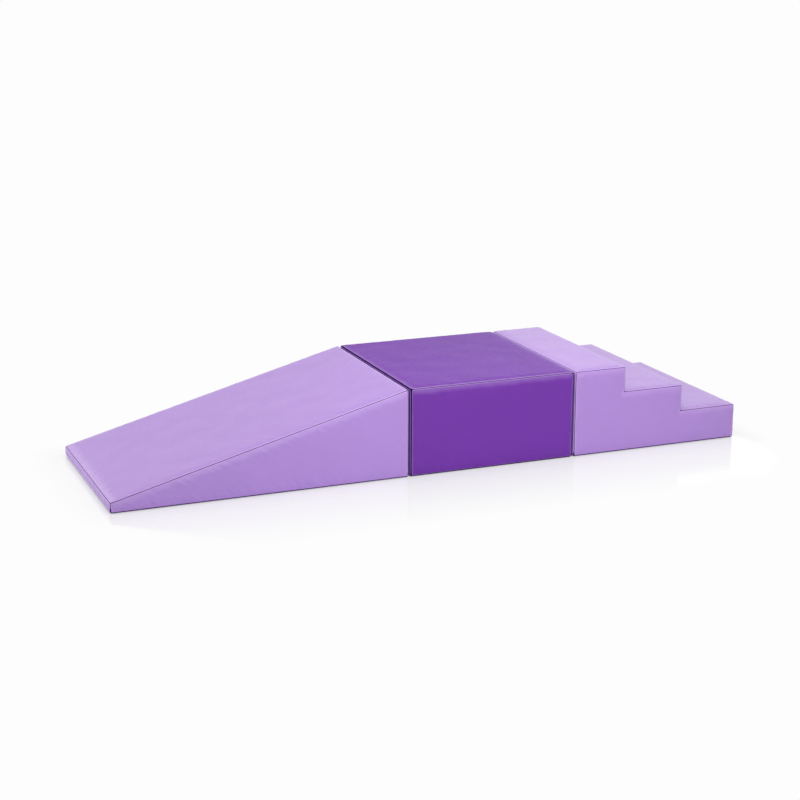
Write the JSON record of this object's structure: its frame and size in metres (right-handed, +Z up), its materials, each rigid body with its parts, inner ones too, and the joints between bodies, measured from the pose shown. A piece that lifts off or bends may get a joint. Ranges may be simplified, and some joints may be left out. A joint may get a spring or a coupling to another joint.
{
  "type": "soft play foam climber",
  "caption": "Soft play climber of foam modules in sewn covers: a ramp with a low lip, a flat block and a flight of three steps, butted in a row.",
  "frame": {"origin": "on the floor under the middle of the whole row", "axes": "+X along the row from the ramp towards the stairs, +Y to the far side where the zips are, +Z up"},
  "size_m": [2.2568, 0.6721, 0.3025],
  "materials": {
    "lilac_leatherette": "satin",
    "violet_leatherette": "satin",
    "foam": "matte",
    "lilac_webbing": "matte",
    "violet_webbing": "matte",
    "lilac_zip_chain": "satin",
    "violet_zip_chain": "satin",
    "zip_metal": "satin"
  },
  "bodies": {
    "block": {"block_base_panel": "violet_leatherette", "block_far_panel": "violet_leatherette", "block_foam_core": "foam", "block_near_panel": "violet_leatherette", "block_ramp_side_lower_loop_strip": "violet_webbing", "block_ramp_side_panel": "violet_leatherette", "block_ramp_side_upper_loop_strip": "violet_webbing", "block_stairs_side_lower_loop_strip": "violet_webbing", "block_stairs_side_panel": "violet_leatherette", "block_stairs_side_upper_loop_strip": "violet_webbing", "block_top_panel": "violet_leatherette", "block_zip_chain": "violet_zip_chain", "block_zip_closed_stop": "zip_metal", "block_zip_open_stop": "zip_metal", "block_zip_tape": "violet_webbing"},
    "block_zip_slider": {"block_zip_slider": "zip_metal"},
    "block_zip_pull": {"block_zip_pull": "zip_metal"},
    "ramp": {"ramp_back_panel": "lilac_leatherette", "ramp_base_panel": "lilac_leatherette", "ramp_far_panel": "lilac_leatherette", "ramp_foam_core": "foam", "ramp_lip_panel": "lilac_leatherette", "ramp_lower_hook_strip": "lilac_webbing", "ramp_near_panel": "lilac_leatherette", "ramp_slide_panel": "lilac_leatherette", "ramp_upper_hook_strip": "lilac_webbing", "ramp_zip_chain": "lilac_zip_chain", "ramp_zip_closed_stop": "zip_metal", "ramp_zip_open_stop": "zip_metal", "ramp_zip_tape": "lilac_webbing"},
    "ramp_zip_slider": {"ramp_zip_slider": "zip_metal"},
    "ramp_zip_pull": {"ramp_zip_pull": "zip_metal"},
    "stairs": {"stairs_back_panel": "lilac_leatherette", "stairs_base_panel": "lilac_leatherette", "stairs_far_panel": "lilac_leatherette", "stairs_foam_core": "foam", "stairs_front_riser_panel": "lilac_leatherette", "stairs_lower_hook_strip": "lilac_webbing", "stairs_lower_step_panel": "lilac_leatherette", "stairs_middle_step_panel": "lilac_leatherette", "stairs_near_panel": "lilac_leatherette", "stairs_top_tread_panel": "lilac_leatherette", "stairs_upper_hook_strip": "lilac_webbing", "stairs_zip_chain": "lilac_zip_chain", "stairs_zip_closed_stop": "zip_metal", "stairs_zip_open_stop": "zip_metal", "stairs_zip_tape": "lilac_webbing"},
    "stairs_zip_slider": {"stairs_zip_slider": "zip_metal"},
    "stairs_zip_pull": {"stairs_zip_pull": "zip_metal"}
  },
  "joints": [
    {"name": "ramp_pull_away", "type": "slide", "parent": "block", "child": "ramp", "axis": [-1, 0, 0], "range_m": [0, 0.3]},
    {"name": "stairs_pull_away", "type": "slide", "parent": "block", "child": "stairs", "axis": [1, 0, 0], "range_m": [0, 0.3]},
    {"name": "ramp_zip_slide", "type": "slide", "parent": "ramp", "child": "ramp_zip_slider", "axis": [-1, 0, 0], "range_m": [0, 0.6085]},
    {"name": "ramp_zip_pull_flip", "type": "hinge", "parent": "ramp_zip_slider", "child": "ramp_zip_pull", "pos_m": [-0.20165, 0.3369, 0.045], "axis": [0, 0, -1], "range_deg": [0, 170]},
    {"name": "block_zip_slide", "type": "slide", "parent": "block", "child": "block_zip_slider", "axis": [-1, 0, 0], "range_m": [0, 0.4479]},
    {"name": "block_zip_pull_flip", "type": "hinge", "parent": "block_zip_slider", "child": "block_zip_pull", "pos_m": [0.40425, 0.3369, 0.045], "axis": [0, 0, -1], "range_deg": [0, 170]},
    {"name": "stairs_zip_slide", "type": "slide", "parent": "stairs", "child": "stairs_zip_slider", "axis": [-1, 0, 0], "range_m": [0, 0.4879]},
    {"name": "stairs_zip_pull_flip", "type": "hinge", "parent": "stairs_zip_slider", "child": "stairs_zip_pull", "pos_m": [1.05015, 0.3369, 0.045], "axis": [0, 0, -1], "range_deg": [0, 170]}
  ]
}
